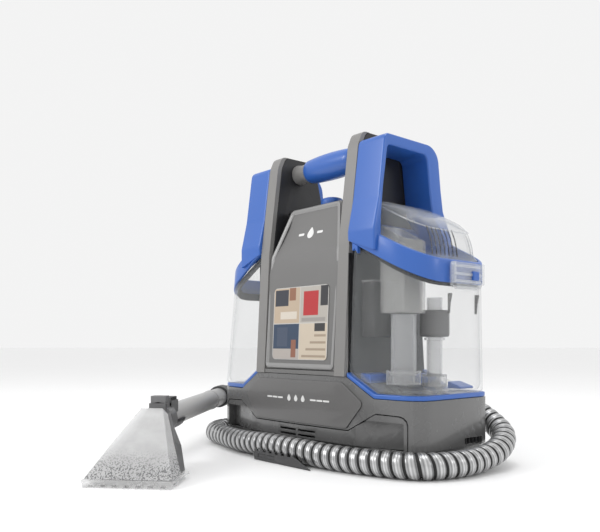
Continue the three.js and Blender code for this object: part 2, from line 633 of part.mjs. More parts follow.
function makeTool() {
  const tool = new THREE.Group();
  tool.position.set(TOOL.x, TOOL.y, 0);
  tool.rotation.z = THREE.MathUtils.degToRad(TOOL.turn);
  machine.add(tool);
  const along = (body) => placed(body, 0, 0, WAND.low, [-Math.PI / 2 + WAND.rise, 0, 0]);

  const section = (half, y0, z0, y1, z1) => (shrink, drop) => [
    [-half + shrink, y0 + shrink, z0 - drop], [half - shrink, y0 + shrink, z0 - drop],
    [half - shrink, y1 - shrink, z1 - drop], [-half + shrink, y1 - shrink, z1 - drop],
  ].map((p) => new THREE.Vector3(...p));
  const skin = (sections) => (shrink, drop) => loft(sections.map((ring) => ring(shrink, drop)));

  const funnel = skin([
    section(48, -4, 8.4, 30, 8.4), section(30, 34, 44, 60, 38.5), section(13, 72, 76, 90, 68),
  ]);
  add("tool_nozzle", cut(funnel(0, 0), funnel(2, 3)), "clear", tool);

  const shell = skin([
    section(44, 31, 8.4, 56, 8.4), section(31, 62, 39, 84, 32), section(15, 93.4, 70, 110, 48),
  ]);
  const neck = along(disc(18.2, 92, 112));
  const socket = along(disc(WAND.radius + GAP, 96, 160));
  const acrossTool = (radius, half) => placed(
    disc(radius, -half, half, 10), 0, TRIGGER_PIN.y, TRIGGER_PIN.z, [0, Math.PI / 2, 0],
  );
  const pinHole = acrossTool(TRIGGER_PIN.hole, 20);
  const yokes = [-10.2, 10.2].map((x) => box(x - 1.6, x + 1.6, 97, 109, 31, 50));
  add("tool_body", cut(join(shell(0, 0), neck, ...yokes), shell(2.4, 4), socket, pinHole), "grey", tool);
  add("trigger_pin", acrossTool(TRIGGER_PIN.radius, 11.8), "metal", tool);

  const plate = box(-49, 49, -8, 56, 5, 8);
  const combs = join(box(-48, 48, -7, 0, 0, 5.5), box(-48, 48, 12, 18, 0, 5.5));
  const notches = [];
  for (let k = 0; k < 7; k += 1) {
    const x = -39 + k * 13;
    notches.push(box(x - 3, x + 3, -20, 30, -1, 3.4));
  }
  const mouth = box(-43, 43, 0, 12, -5, 20);
  const underBody = box(-40, 40, 34, 53, -5, 20);
  add("tool_lip", cut(join(plate, combs), mouth, underBody, ...notches), "clear", tool);

  const wand = cut(disc(WAND.radius, WAND.start, WAND.end), disc(11.5, 0, 500));
  add("tool_wand", along(wand), "light", tool);
  const half = cut(disc(16.6, 112.6, 152), disc(WAND.radius + GAP, 0, 300), box(-30, 30, -30, 3, 0, 300));
  add("tool_grip", along(half), "dark", tool);

  const triggerSide = rounded([
    [98, 38], [102, 31, 2], [114, 32], [137, 26, 1], [140, 30, 1], [116, 37.5], [107, 38.6],
  ]);
  add("tool_trigger", cut(prismX(triggerSide, -8, 8), pinHole), "dark", tool);

  const lock = join(box(-9, 9, 93, 106, 76, 88), box(-11, 11, 105, 130, 79, 85.5));
  add("tool_lock", cut(lock, along(disc(20.8, 0, 300))), "dark", tool);

  const cuff = cut(
    join(disc(17.5, WAND.end + GAP, WAND.end + 30), disc(16, WAND.end + 29, WAND.end + 40)),
    disc(12, 0, 500),
  );
  add("tool_cuff", along(cuff), "light", tool);
}

makePan();
makeHousing();
makeCradle();
makeUprights();
makeTower();
makeDeck();
makeHandle();
makeDirtyTank();
makeCleanTank();
makeWorks();
makeRear();
makeHose();
makeTool();

export default machine;
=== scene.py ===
"""Looks of a portable spot cleaner: clear tanks, blue bands and arches, grey mouldings, a ribbed
stretch hose and a hand tool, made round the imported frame. Lengths in the tables are millimetres,
and every mesh is written in metres with its place in its points."""

import json
import math

import bmesh
import bpy
import numpy as np
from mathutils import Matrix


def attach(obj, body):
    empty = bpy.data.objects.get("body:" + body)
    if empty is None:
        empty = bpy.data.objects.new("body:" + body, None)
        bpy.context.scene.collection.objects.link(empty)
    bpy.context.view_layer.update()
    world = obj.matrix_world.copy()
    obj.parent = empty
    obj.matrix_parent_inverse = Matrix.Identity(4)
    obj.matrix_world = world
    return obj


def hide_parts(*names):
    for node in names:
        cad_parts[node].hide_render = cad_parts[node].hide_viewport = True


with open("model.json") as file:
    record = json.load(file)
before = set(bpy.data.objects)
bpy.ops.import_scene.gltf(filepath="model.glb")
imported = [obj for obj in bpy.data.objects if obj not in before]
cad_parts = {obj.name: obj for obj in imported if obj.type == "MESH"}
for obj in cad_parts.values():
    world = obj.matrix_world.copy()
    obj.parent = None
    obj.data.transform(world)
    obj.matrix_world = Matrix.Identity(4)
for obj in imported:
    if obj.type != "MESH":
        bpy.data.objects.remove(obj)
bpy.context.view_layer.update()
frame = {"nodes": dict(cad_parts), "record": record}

MM = 0.001
UP = (0, 0, 1)
MERGE = 1e-7
NODE_MERGE = 2e-6
RECORD = frame["record"]
BODY_OF = {node: body for body, nodes in RECORD["behaviour"]["bodies"].items() for node in nodes}
SLOT_OF = {row["node"]: row["material_slot"] for row in RECORD["subparts"]}


def placed(name, data):
    """An object that holds data, linked into the scene."""
    piece = bpy.data.objects.new(name, data)
    bpy.context.scene.collection.objects.link(piece)
    return piece


# ---------------------------------------------------------------- camera
def make_camera():
    """Camera low at the front right, level, with its view shifted down a little."""
    data = bpy.data.cameras.new("camera")
    data.lens = 40.4
    data.shift_y = 0.128
    data.clip_start, data.clip_end = 0.01, 20
    camera = placed("camera", data)
    camera.location = (0.676, -0.667, 0.151)
    camera.rotation_euler = (math.radians(90), 0, math.radians(49))
    bpy.context.scene.camera = camera


make_camera()


# ---------------------------------------------------------------- curves and outlines
def rounded(corners, steps=8, closed=True):
    """Outline whose corners (x, y, radius) become arcs: the arc starts a distance
    radius / tan(half the corner's angle) before the corner and ends as far after it."""
    corners = [tuple(c) + (0,) * (3 - len(c)) for c in corners]
    points = []
    for i, (x, y, radius) in enumerate(corners):
        corner = np.array([x, y], float)
        end = not closed and i in (0, len(corners) - 1)
        if radius <= 0 or end:
            points.append(corner[None])
            continue
        before = np.array(corners[i - 1][:2], float) - corner
        after = np.array(corners[(i + 1) % len(corners)][:2], float) - corner
        before, after = before / np.linalg.norm(before), after / np.linalg.norm(after)
        half = math.acos(np.clip(before @ after, -1, 1)) / 2
        middle = before + after
        centre = corner + middle / np.linalg.norm(middle) * radius / math.sin(half)
        first = corner + before * radius / math.tan(half) - centre
        last = corner + after * radius / math.tan(half) - centre
        turn = math.atan2(first[0] * last[1] - first[1] * last[0], first @ last)
        angle = np.linspace(0, turn, steps + 1)
        cos, sin = np.cos(angle), np.sin(angle)
        arc = np.column_stack([first[0] * cos - first[1] * sin, first[0] * sin + first[1] * cos])
        points.append(arc + centre)
    return np.vstack(points)


def smooth_path(points, spacing):
    """Centripetal Catmull-Rom curve through points, walked at an even spacing: each span is a
    cubic whose end slopes weigh its neighbours by the root of their distances."""
    p = np.array(points, float)
    p = np.vstack([2 * p[0] - p[1], p, 2 * p[-1] - p[-2]])
    step = np.linalg.norm(np.diff(p, axis=0), axis=1)[:, None] ** 0.5
    p0, p1, p2, p3 = p[:-3], p[1:-2], p[2:-1], p[3:]
    a, b, c = step[:-2], step[1:-1], step[2:]
    slope1 = ((p1 - p0) / a - (p2 - p0) / (a + b) + (p2 - p1) / b) * b
    slope2 = ((p2 - p1) / b - (p3 - p1) / (b + c) + (p3 - p2) / c) * b
    t = np.linspace(0, 1, 60, endpoint=False)[None, :, None]
    h = [v[:, None, :] for v in (p1, p2, slope1, slope2)]
    curve = (2 * t**3 - 3 * t**2 + 1) * h[0] + (3 * t**2 - 2 * t**3) * h[1]
    curve = curve + (t**3 - 2 * t**2 + t) * h[2] + (t**3 - t**2) * h[3]
    curve = np.vstack([curve.reshape(-1, 3), p2[-1:]])
    walked = np.concatenate([[0], np.cumsum(np.linalg.norm(np.diff(curve, axis=0), axis=1))])
    even = np.linspace(0, walked[-1], int(walked[-1] / spacing) + 1)
    return np.column_stack([np.interp(even, walked, curve[:, k]) for k in range(3)]), even


# ---------------------------------------------------------------- meshes
def mesh_object(name, points, faces):
    """A mesh from points in millimetres, with doubles merged and its faces turned outwards."""
    data = bpy.data.meshes.new(name)
    data.from_pydata((points * MM).tolist(), [], faces)
    work = bmesh.new()
    work.from_mesh(data)
    bmesh.ops.remove_doubles(work, verts=work.verts, dist=MERGE)
    bmesh.ops.dissolve_degenerate(work, dist=MERGE, edges=work.edges)
    if work.calc_volume(signed=True) < 0:
        bmesh.ops.reverse_faces(work, faces=work.faces)
    work.to_mesh(data)
    work.free()
    return placed(name, data)


def grid_faces(rows, columns, wrap_rows, wrap_columns):
    """Quads of a grid of points numbered row by row."""
    i = np.arange(rows if wrap_rows else rows - 1)[:, None]
    j = np.arange(columns if wrap_columns else columns - 1)[None, :]
    i2, j2 = (i + 1) % rows, (j + 1) % columns
    corners = [i * columns + j, i * columns + j2, i2 * columns + j2, i2 * columns + j]
    return np.stack(corners, axis=-1).reshape(-1, 4).tolist()


def grid_piece(name, grid, wrap_rows=False, caps=True):
    """A skin over a grid of rings (rows of points); open ends are closed by flat faces."""
    rows, columns = grid.shape[:2]
    faces = grid_faces(rows, columns, wrap_rows, True)
    if caps and not wrap_rows:
        faces.append(list(range(columns))[::-1])
        faces.append([(rows - 1) * columns + k for k in range(columns)])
    return mesh_object(name, grid.reshape(-1, 3), faces)


def lathe(name, profile, origin, axis, segments=64, steps=5):
    """A closed profile (radius, along, corner radius) turned about an axis: each point is
    origin + along x axis + radius x (cos, sin) in the plane across it."""
    r, s = rounded(profile, steps).T
    axis = np.array(axis, float) / np.linalg.norm(axis)
    across = np.cross(axis, UP if abs(axis[2]) < 0.9 else (1, 0, 0))
    across /= np.linalg.norm(across)
    up = np.cross(axis, across)
    angle = np.linspace(0, 2 * math.pi, segments, endpoint=False)
    ring = np.cos(angle)[:, None] * across + np.sin(angle)[:, None] * up
    grid = np.array(origin) + s[:, None, None] * axis + r[:, None, None] * ring[None]
    return grid_piece(name, grid, wrap_rows=True)


def smooth(piece, angle=32):
    """Smooth shading that keeps edges sharper than angle."""
    piece.data.polygons.foreach_set("use_smooth", np.ones(len(piece.data.polygons), bool))
    piece.data.set_sharp_from_angle(angle=math.radians(angle))


def soften_edges(piece, width, angle=28):
    """Rounds the edges sharper than angle by width millimetres."""
    bevel = piece.modifiers.new("edge", "BEVEL")
    bevel.width = width * MM
    bevel.segments = 3
    bevel.limit_method = "ANGLE"
    bevel.angle_limit = math.radians(angle)
    bevel.miter_outer = "MITER_ARC"


def install(piece, material, *nodes, body=None, slot=None, angle=32):
    """Gives a piece its finish and body; it stands for the CAD nodes that it is named with."""
    smooth(piece, angle)
    piece.data.materials.clear()
    piece.data.materials.append(material)
    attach(piece, body or BODY_OF[nodes[0]])
    if nodes:
        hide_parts(*nodes)
    slot or SLOT_OF[nodes[0]]
    return piece


def finished(node, material, edge=0.6, angle=28):
    """A copy of a CAD node with its triangles merged, its flats joined and its edges rounded."""
    work = bmesh.new()
    work.from_mesh(frame["nodes"][node].data)
    bmesh.ops.remove_doubles(work, verts=work.verts, dist=NODE_MERGE)
    flat = math.radians(0.6)
    bmesh.ops.dissolve_limit(work, angle_limit=flat, verts=work.verts, edges=work.edges)
    data = bpy.data.meshes.new(node + "_moulding")
    work.to_mesh(data)
    work.free()
    piece = placed(node + "_moulding", data)
    if edge:
        soften_edges(piece, edge, angle)
    return install(piece, material, node, angle=38)


# ---------------------------------------------------------------- materials
class Value:
    """A number inside a material; arithmetic on it adds Math nodes."""

    def __init__(self, recipe, socket):
        self.recipe = recipe
        self.socket = socket

    def math(self, operation, *parts):
        node = self.recipe.node("ShaderNodeMath", {"operation": operation}, dict(enumerate(parts)))
        return Value(self.recipe, node.outputs[0])

    def __add__(self, other):
        return self.math("ADD", self, other)

    def __sub__(self, other):
        return self.math("SUBTRACT", self, other)

    def __rsub__(self, other):
        return self.math("SUBTRACT", other, self)

    def __mul__(self, other):
        return self.math("MULTIPLY", self, other)

    def __pow__(self, other):
        return self.math("POWER", self, other)

    __radd__ = __add__
    __rmul__ = __mul__

    def fraction(self):
        return self.math("FRACT", self)

    def size(self):
        return self.math("ABSOLUTE", self)

    def wave(self):
        return self.math("SINE", self)

    def rise(self, low, high):
        """0 below low, 1 above high, and a smooth step between them."""
        inputs = {"Value": self, "From Min": low, "From Max": high}
        node = self.recipe.node("ShaderNodeMapRange", {"interpolation_type": "SMOOTHSTEP"}, inputs)
        return Value(self.recipe, node.outputs[0])


class Recipe:
    """One material; every node in it is made by node()."""

    def __init__(self, name):
        self.material = bpy.data.materials.new(name)
        self.material.use_nodes = True
        self.tree = self.material.node_tree
        self.tree.nodes.clear()
        self.place = self.node("ShaderNodeTexCoord").outputs["Object"]

    def node(self, kind, settings=None, inputs=None):
        node = self.tree.nodes.new(kind)
        for key, value in (settings or {}).items():
            setattr(node, key, value)
        for key, value in (inputs or {}).items():
            value = value.socket if isinstance(value, Value) else value
            if isinstance(value, bpy.types.NodeSocket):
                self.tree.links.new(value, node.inputs[key])
            else:
                node.inputs[key].default_value = value
        return node

    def noise(self, scale, detail=2.0):
        """Noise from 0 to 1 in the piece's own space; scale is in waves per metre."""
        inputs = {"Vector": self.place, "Scale": scale, "Detail": detail}
        return Value(self, self.node("ShaderNodeTexNoise", None, inputs).outputs[0])

    def coordinates(self):
        """x, y and z of the point, in millimetres."""
        split = self.node("ShaderNodeSeparateXYZ", None, {0: self.place})
        return [Value(self, out) * (1 / MM) for out in split.outputs]

    def mix(self, factor, a, b):
        """Colour a where factor is 0 and b where it is 1."""
        colours = [c if isinstance(c, bpy.types.NodeSocket) else (*c, 1) for c in (a, b)]
        inputs = {0: factor, 6: colours[0], 7: colours[1]}
        return self.node("ShaderNodeMix", {"data_type": "RGBA"}, inputs).outputs[2]

    def facing(self):
        """0 where the surface faces the eye, rising to 1 at its edges."""
        return Value(self, self.node("ShaderNodeLayerWeight", None, {"Blend": 0.4}).outputs["Facing"])

    def bump(self, height, distance, strength):
        inputs = {"Height": height, "Distance": distance, "Strength": strength}
        return self.node("ShaderNodeBump", None, inputs).outputs[0]

    def surface(self, **inputs):
        named = {key.replace("_", " "): value for key, value in inputs.items()}
        return self.node("ShaderNodeBsdfPrincipled", None, named).outputs[0]

    def see_through(self, cover, skin):
        """Nothing where cover is 0 and the skin where it is 1."""
        through = self.node("ShaderNodeBsdfTransparent").outputs[0]
        return self.node("ShaderNodeMixShader", None, {0: cover, 1: through, 2: skin}).outputs[0]

    def done(self, shader):
        self.node("ShaderNodeOutputMaterial", None, {"Surface": shader})
        return self.material


def tinted(colour, factor):
    """The colour made lighter or darker by factor."""
    return tuple(min(c * factor, 1) for c in colour)


def moulded(name, colour, roughness, grain=0.25, tone=0.06, coat=0.0):
    """Moulded plastic: broad faint tone drift, fine grain and slightly uneven gloss."""
    r = Recipe(name)
    drift = r.noise(7, 3)
    handling = r.noise(38, 4)
    grainy = r.noise(1900, 2)
    base = r.mix(drift, tinted(colour, 1 - tone), tinted(colour, 1 + tone))
    return r.done(r.surface(
        Base_Color=base, Roughness=handling * 0.12 + (roughness - 0.06),
        Normal=r.bump(grainy, 0.00008, grain), Coat_Weight=coat, Coat_Roughness=0.08,
    ))


def clear_plastic(name, tint, haze, roughness=0.04, edge=0.75):
    """Clear moulding: mostly see-through face on, denser towards its edges, with a faint
    cloudiness that drifts over it."""
    r = Recipe(name)
    cover = haze * (0.6 + r.noise(16, 3) * 0.8) + r.facing() ** 2.6 * (edge - haze)
    skin = r.surface(Base_Color=(*tint, 1), Roughness=roughness, IOR=1.5)
    return r.done(r.see_through(cover, skin))


def wet_nozzle():
    """Clear nozzle: whiter at its top, and below a line at half height spotted with small dark
    drops that get denser downwards."""
    r = Recipe("clear_nozzle")
    height = r.coordinates()[2]
    low = 1 - height.rise(14, 46)
    drops = r.noise(520, 3).rise(0.5, 0.56) * low
    colour = r.mix(drops, (0.80, 0.80, 0.80), (0.16, 0.16, 0.165))
    skin = r.surface(Base_Color=colour, Roughness=0.08, IOR=1.5,
                     Normal=r.bump(r.noise(420, 2), 0.0004, 0.35))
    cover = 0.34 + r.facing() ** 2 * 0.5 + drops * 0.35 + r.noise(60, 3) * 0.15
    return r.done(r.see_through(cover, skin))


def lock_finish():
    """Lock: mid grey, with a black ribbed pad behind a line across the tool and a round black
    dimple in front of it."""
    r = Recipe("lock_two_tone")
    x, y, z = r.coordinates()
    along = (x - TOOL_LIP[0]) * TOOL_BACK[0] + (y - TOOL_LIP[1]) * TOOL_BACK[1]
    across = (x - TOOL_LIP[0]) * TOOL_SIDE[0] + (y - TOOL_LIP[1]) * TOOL_SIDE[1]
    pad = along.rise(PAD_START - 0.5, PAD_START)
    reach = ((along - DIMPLE_ALONG) ** 2 + across**2) ** 0.5
    dimple = (1 - reach.rise(3.2, 3.6)) * z.rise(87, 87.5)
    colour = r.mix(pad, (0.17, 0.17, 0.172), (0.012, 0.012, 0.013))
    colour = r.mix(dimple, colour, (0.006, 0.006, 0.007))
    ridges = (along * (2 * math.pi / PAD_RIDGE)).wave() * pad
    return r.done(r.surface(Base_Color=colour, Roughness=0.42, Normal=r.bump(ridges, 0.0005, 0.6)))


def hose_skin():
    """Stretch hose: silvery grey ribs with a black spiral in the groove, each rib painted lighter
    along its crest and darker down its flanks as a painted highlight and shade; the first coordinate
    of the piece's own map counts the turns of the spiral."""
    r = Recipe("hose_ribs")
    mapped = r.node("ShaderNodeUVMap", {"uv_map": "turns"}).outputs[0]
    turns = Value(r, r.node("ShaderNodeSeparateXYZ", None, {0: mapped}).outputs[0])
    off_groove = 1 - ((turns.fraction() - 0.5).size() * 2)
    rib = off_groove.rise(0.2, 0.27)
    # Painted highlight and shade: lightest along the rib's crest, darker down its flanks towards the
    # groove.
    painted_crest_highlight = off_groove.rise(0.3, 1.0)
    threads = (turns * (2 * math.pi * 4)).wave() * 0.5 + 0.5
    # Silvery rib colour mixed with the painted crest highlight and the fine threads.
    silver_with_crest_highlight = r.mix(painted_crest_highlight * 0.5 + threads * 0.5, (0.16, 0.162, 0.165), (0.66, 0.662, 0.665))
    colour = r.mix(rib, (0.002, 0.002, 0.002), silver_with_crest_highlight)
    return r.done(r.surface(
        Base_Color=colour, Roughness=0.5 - rib * 0.22 + r.noise(60, 3) * 0.1, Metallic=rib * 0.8,
        Normal=r.bump(threads * rib, 0.0003, 0.5),
    ))


def picture_tiles():
    """Printed label: a pale sheet with four plain picture tiles: a rug before a dark sofa, a red
    cushion on a pale sofa, a dark car seat, and a carpeted stair."""
    r = Recipe("label_print")
    x, _, z = r.coordinates()

    def inside(value, low, high, soft=0.5):
        return value.rise(low - soft, low + soft) * (1 - value.rise(high - soft, high + soft))

    def patch(colour, fill, x0, x1, z0, z1):
        return r.mix(inside(x, x0, x1) * inside(z, z0, z1), colour, fill)

    weave = r.noise(260, 3)
    colour = r.mix(weave, (0.46, 0.45, 0.43), (0.56, 0.55, 0.53))
    colour = patch(colour, (0.47, 0.37, 0.27), -54, -0.6, 177.6, 225)
    colour = patch(colour, (0.018, 0.022, 0.035), -52, -24, 201, 223)
    colour = patch(colour, (0.25, 0.11, 0.06), -22, -9, 208, 225)
    colour = patch(colour, (0.62, 0.56, 0.48), -40, -6, 183, 193)
    colour = patch(colour, (0.42, 0.39, 0.35), 0.6, 54, 177.6, 225)
    colour = patch(colour, (0.42, 0.012, 0.016), 7, 36, 187, 219)
    colour = patch(colour, (0.02, 0.02, 0.025), 40, 54, 199, 225)
    colour = patch(colour, (0.30, 0.28, 0.26), 4, 50, 179, 184)
    colour = patch(colour, (0.012, 0.035, 0.08), -54, -0.6, 129.3, 176.4)
    colour = patch(colour, (0.035, 0.055, 0.10), -46, -24, 146, 172)
    colour = patch(colour, (0.40, 0.36, 0.33), -54, -0.6, 129.3, 143)
    colour = patch(colour, (0.24, 0.09, 0.05), -16, -6, 131.5, 155)
    colour = patch(colour, (0.55, 0.47, 0.37), 0.6, 54, 129.3, 176.4)
    colour = patch(colour, (0.02, 0.02, 0.022), 30, 50, 166, 176.4)
    for step in range(4):
        low = 132 + step * 9
        colour = patch(colour, (0.33, 0.26, 0.19), 6 + step * 8, 52, low, low + 3)
    return r.done(r.surface(Base_Color=colour, Roughness=0.28, Coat_Weight=0.4, Coat_Roughness=0.1))


BLUE = moulded("bright_blue", (0.030, 0.118, 0.44), 0.34, 0.2, 0.05, 0.15)
GREY = moulded("gloss_grey", (0.118, 0.118, 0.118), 0.27, 0.12, 0.06, 0.5)
PANEL = moulded("panel_grey", (0.150, 0.148, 0.146), 0.36, 0.22, 0.05, 0.1)
# Panel grey painted lighter for the rim round the front panel: a painted highlight along its bevelled
# edge.
RIM_HIGHLIGHT = moulded("rim_grey_painted_highlight", (0.26, 0.258, 0.256), 0.34, 0.15, 0.05, 0.2)
BADGE = moulded("badge_grey", (0.125, 0.123, 0.122), 0.32, 0.15, 0.06, 0.3)
LIGHT = moulded("light_grey", (0.215, 0.21, 0.205), 0.40, 0.2, 0.05)
WAND = moulded("wand_grey", (0.40, 0.397, 0.394), 0.36, 0.15, 0.05)
TOOL_GREY = moulded("tool_grey", (0.135, 0.135, 0.137), 0.38, 0.2, 0.06)
DARK = moulded("dark_textured", (0.016, 0.016, 0.018), 0.46, 0.5, 0.10)
CLIP = moulded("clip_grey", (0.045, 0.045, 0.047), 0.42, 0.3, 0.08)
BLACK = moulded("plain_black", (0.006, 0.006, 0.007), 0.5, 0.3, 0.1)
RUBBER = moulded("matte_rubber", (0.018, 0.018, 0.018), 0.78, 0.6, 0.12)
FLOAT = moulded("float_grey", (0.115, 0.113, 0.112), 0.5, 0.3, 0.06)
WHITE = moulded("mark_white", (0.74, 0.74, 0.73), 0.35, 0.1, 0.02)
METAL = moulded("plain_steel", (0.5, 0.5, 0.51), 0.3, 0.2, 0.05)
CLEAR = clear_plastic("clear_tank", (0.62, 0.64, 0.65), 0.05, 0.03, 0.6)
CLEAR_DOME = clear_plastic("clear_dome", (0.60, 0.62, 0.63), 0.07, 0.02, 0.9)
CLEAR_PIPE = clear_plastic("clear_pipe", (0.70, 0.71, 0.72), 0.26, 0.06, 0.95)
CLEAR_LIP = clear_plastic("clear_lip", (0.72, 0.72, 0.72), 0.35, 0.08)
CLEAR_LATCH = clear_plastic("clear_latch", (0.72, 0.74, 0.76), 0.24, 0.03, 0.85)
# Dark-tinted clear: painted shade for the dark lines that thin clear fins and flutes show in light.
CLEAR_EDGE_SHADE = clear_plastic("clear_edge_painted_shade", (0.10, 0.10, 0.10), 0.55, 0.1, 0.9)
FROSTED = clear_plastic("frosted", (0.52, 0.52, 0.51), 0.34, 0.2, 0.85)
SMOKY = clear_plastic("smoky", (0.10, 0.10, 0.10), 0.5, 0.2)
LABEL = picture_tiles()
HOSE = hose_skin()


# ---------------------------------------------------------------- hose and hand tool
HOSE_ROUTE = [
    (142.5, 97, 60), (156, 97, 59), (178, 93, 50), (207, 77, 36), (224, 40, 24), (226, -5, 16.5),
    (222, -48, 15.4), (204, -84, 15.4), (160, -103, 15.4), (105, -115, 15.6), (45, -121, 18),
    (-20, -121, 18.3), (-80, -115, 15.6), (-140, -103, 15.4), (-184, -90, 15.4),
    (-211, -62, 15.4), (-216, -20, 15.4), (-216, 40, 15.4), (-216, 100, 15.4),
    (-217, 130, 15.6), (-238, 180, 20), (-291, 202, 27), (-344, 180, 34), (-366, 127, 40),
    (-347, 77, 47), (-303, 28, 58), (-269, -9.8, 64), (-257.4, -22.8, 64.6),
]
HOSE_RADIUS, HOSE_PITCH, HOSE_SIDES = 15, 13, 40
GROOVE_DEPTH, GROOVE_SPREAD, RIB_DISH = 2.1, 0.24, 0.35
CUFF_BACK = 23.1
TOOL_LIP = np.array([28.0, -341.0, 0.0])
TOOL_TURN = math.radians(41.9)
PAD_START, PAD_RIDGE, DIMPLE_ALONG = 106, 3.2, 99.5
WAND_LOW, WAND_RISE, WAND_START, WAND_END = 58.9, 4 / 300, 97, 385
TOOL_BACK = np.array([-math.sin(TOOL_TURN), math.cos(TOOL_TURN), 0.0])
TOOL_SIDE = np.array([math.cos(TOOL_TURN), math.sin(TOOL_TURN), 0.0])
WAND_AXIS = TOOL_BACK + np.array([0, 0, WAND_RISE])
WAND_ORIGIN = TOOL_LIP + np.array([0, 0, WAND_LOW])


def make_hose():
    """Ribbed tube round the route: the radius is lowest on a spiral line, where the distance
    walked in pitches less the angle in turns is a whole number, and fullest half a turn on."""
    path, walked = smooth_path(HOSE_ROUTE, HOSE_PITCH / 10)
    along = np.gradient(path, axis=0)
    along /= np.linalg.norm(along, axis=1)[:, None]
    side = np.cross(UP, along)
    side /= np.linalg.norm(side, axis=1)[:, None]
    up = np.cross(along, side)
    count = HOSE_SIDES
    turn = np.linspace(0, 1, count + 1)
    phase = walked[:, None] / HOSE_PITCH - turn[None]
    off_groove = 1 - np.abs(phase % 1 - 0.5) * 2
    radius = HOSE_RADIUS - GROOVE_DEPTH * np.exp(-((off_groove / GROOVE_SPREAD) ** 2))
    radius = radius - RIB_DISH * (1 - off_groove)
    angle = 2 * math.pi * turn[None, :, None]
    grid = path[:, None] + radius[..., None] * (
        np.cos(angle) * side[:, None] + np.sin(angle) * up[:, None]
    )
    rows = len(path)
    faces = grid_faces(rows, count, False, True)
    data = bpy.data.meshes.new("stretch_hose")
    caps = [list(range(count))[::-1], [(rows - 1) * count + k for k in range(count)]]
    data.from_pydata((grid[:, :count].reshape(-1, 3) * MM).tolist(), [], faces + caps)
    layer = data.uv_layers.new(name="turns")
    i, j = np.arange(rows - 1)[:, None], np.arange(count)[None]
    corner_turns = np.stack([phase[i, j], phase[i, j + 1], phase[i + 1, j + 1], phase[i + 1, j]], -1)
    flat = np.zeros((len(data.loops), 2), np.float32)
    flat[: corner_turns.size, 0] = corner_turns.reshape(-1)
    layer.data.foreach_set("uv", flat.reshape(-1))
    piece = placed("stretch_hose", data)
    work = bmesh.new()
    work.from_mesh(data)
    if work.calc_volume(signed=True) < 0:
        bmesh.ops.reverse_faces(work, faces=work.faces)
        work.to_mesh(data)
    work.free()
    install(piece, HOSE, "hose", angle=80)
    return piece, path * MM


def make_cuffs():
    """Turned cuffs with three shallow grip rings at both ends of the hose."""
    start = HOSE_ROUTE[0]
    outlet = lathe("outlet_cuff", [
        (12, 0, 0), (17.2, 0, 1), (17.2, 4, 0.5), (16.6, 4.8, 0.5), (17.2, 5.6, 0.5), (17.2, 9, 0.5),
        (16.6, 9.8, 0.5), (17.2, 10.6, 0.5), (17.2, 14, 1), (16, 21, 1.2), (12, 21, 0),
    ], (start[0] - CUFF_BACK, start[1], start[2]), (1, 0, 0))
    install(outlet, CLIP, "hose_cuff")
    e = WAND_END
    tool = lathe("wand_cuff", [
        (12, e + 0.4, 0), (17.3, e + 0.4, 1.2), (17.3, e + 9, 0.6), (16.6, e + 10, 0.5),
        (17.3, e + 11, 0.6), (17.3, e + 20, 0.6), (16.6, e + 21, 0.5), (17.3, e + 22, 0.6),
        (17.3, e + 28, 1.5), (15.9, e + 31, 1), (15.9, e + 40, 1), (12, e + 40, 0),
    ], WAND_ORIGIN, WAND_AXIS)
    install(tool, CLIP, "tool_cuff")
    return [outlet, tool]


hose, hose_path = make_hose()
hose_cuffs = make_cuffs()
tuple(hose_path[0])


def make_tool():
    """Wand with a raised seam ring near its rear end, and the tool's mouldings."""
    wand = lathe("wand_tube", [
        (11.5, WAND_START, 0), (13.9, WAND_START, 0.6), (13.9, 330, 0.3), (14.7, 331, 0.5),
        (14.7, 335, 0.5), (13.9, 336, 0.3), (13.9, WAND_END, 0.8), (11.5, WAND_END, 0),
    ], WAND_ORIGIN, WAND_AXIS)
    install(wand, WAND, "tool_wand")
    finished("tool_body", TOOL_GREY, 1.4)
    finished("tool_grip", DARK, 0.8)
    finished("tool_nozzle", wet_nozzle(), 1.2)
    finished("tool_lip", CLEAR_LIP, 0.4)
    finished("tool_lock", lock_finish(), 1.2)
    finished("tool_trigger", CLIP, 1.0)


def make_lock_socket():
    """Low walls round the lock, so that it sinks between them: blocks in the tool's own frame,
    turned by taking x along the tool's side and y along its back."""
    walls = [
        ((-10.6, 91.4, 70), (10.6, 92.6, 79.6)), ((-10.6, 91.4, 70), (-9.35, 104.4, 79.6)),
        ((9.35, 91.4, 70), (10.6, 104.4, 79.6)), ((-12.6, 106.6, 66), (-11.35, 131.6, 81.6)),
        ((11.35, 106.6, 66), (12.6, 131.6, 81.6)), ((-12.6, 130.4, 66), (12.6, 131.6, 81.6)),
    ]
    for k, (low, high) in enumerate(walls):
        wall = block(f"lock_wall_{k}", low, high, TOOL_GREY, "tool", "grey", 0.4)
        local = np.zeros(len(wall.data.vertices) * 3)
        wall.data.vertices.foreach_get("co", local)
        x, y, z = local.reshape(-1, 3).T
        turned = TOOL_LIP * MM + x[:, None] * TOOL_SIDE + y[:, None] * TOOL_BACK
        turned[:, 2] += z
        wall.data.vertices.foreach_set("co", turned.reshape(-1))
        wall.data.update()


# ---------------------------------------------------------------- tanks
SEAT, SEAT_BEND, TOWER_FOOT, TOWER_OUT = 84, 131.5, 109, 88.5
TANK_LOW, TANK_MIDDLE, TANK_HIGH = 88, 235, 340
TANK_LIFT, TANK_WALL = 6.35, 2.6
PART_X, PART_Z, PART_SLOPE = 89, 277, -0.53
BAND, BAND_IN, BAND_FORWARD, DOME = 27, 3.5, 6.3, 38
FLUTE_REACH, FLUTE_DEPTH, FLUTE_PITCH = 62, 1.1, 9
STANDPIPE = (135, -28, 0)
FLOAT_GUIDE = (145, 20, 0)


def front_at(x):
    """Front of the machine at x: it falls back with the square of the distance from the middle."""
    return -85 + np.square(x) / 2600


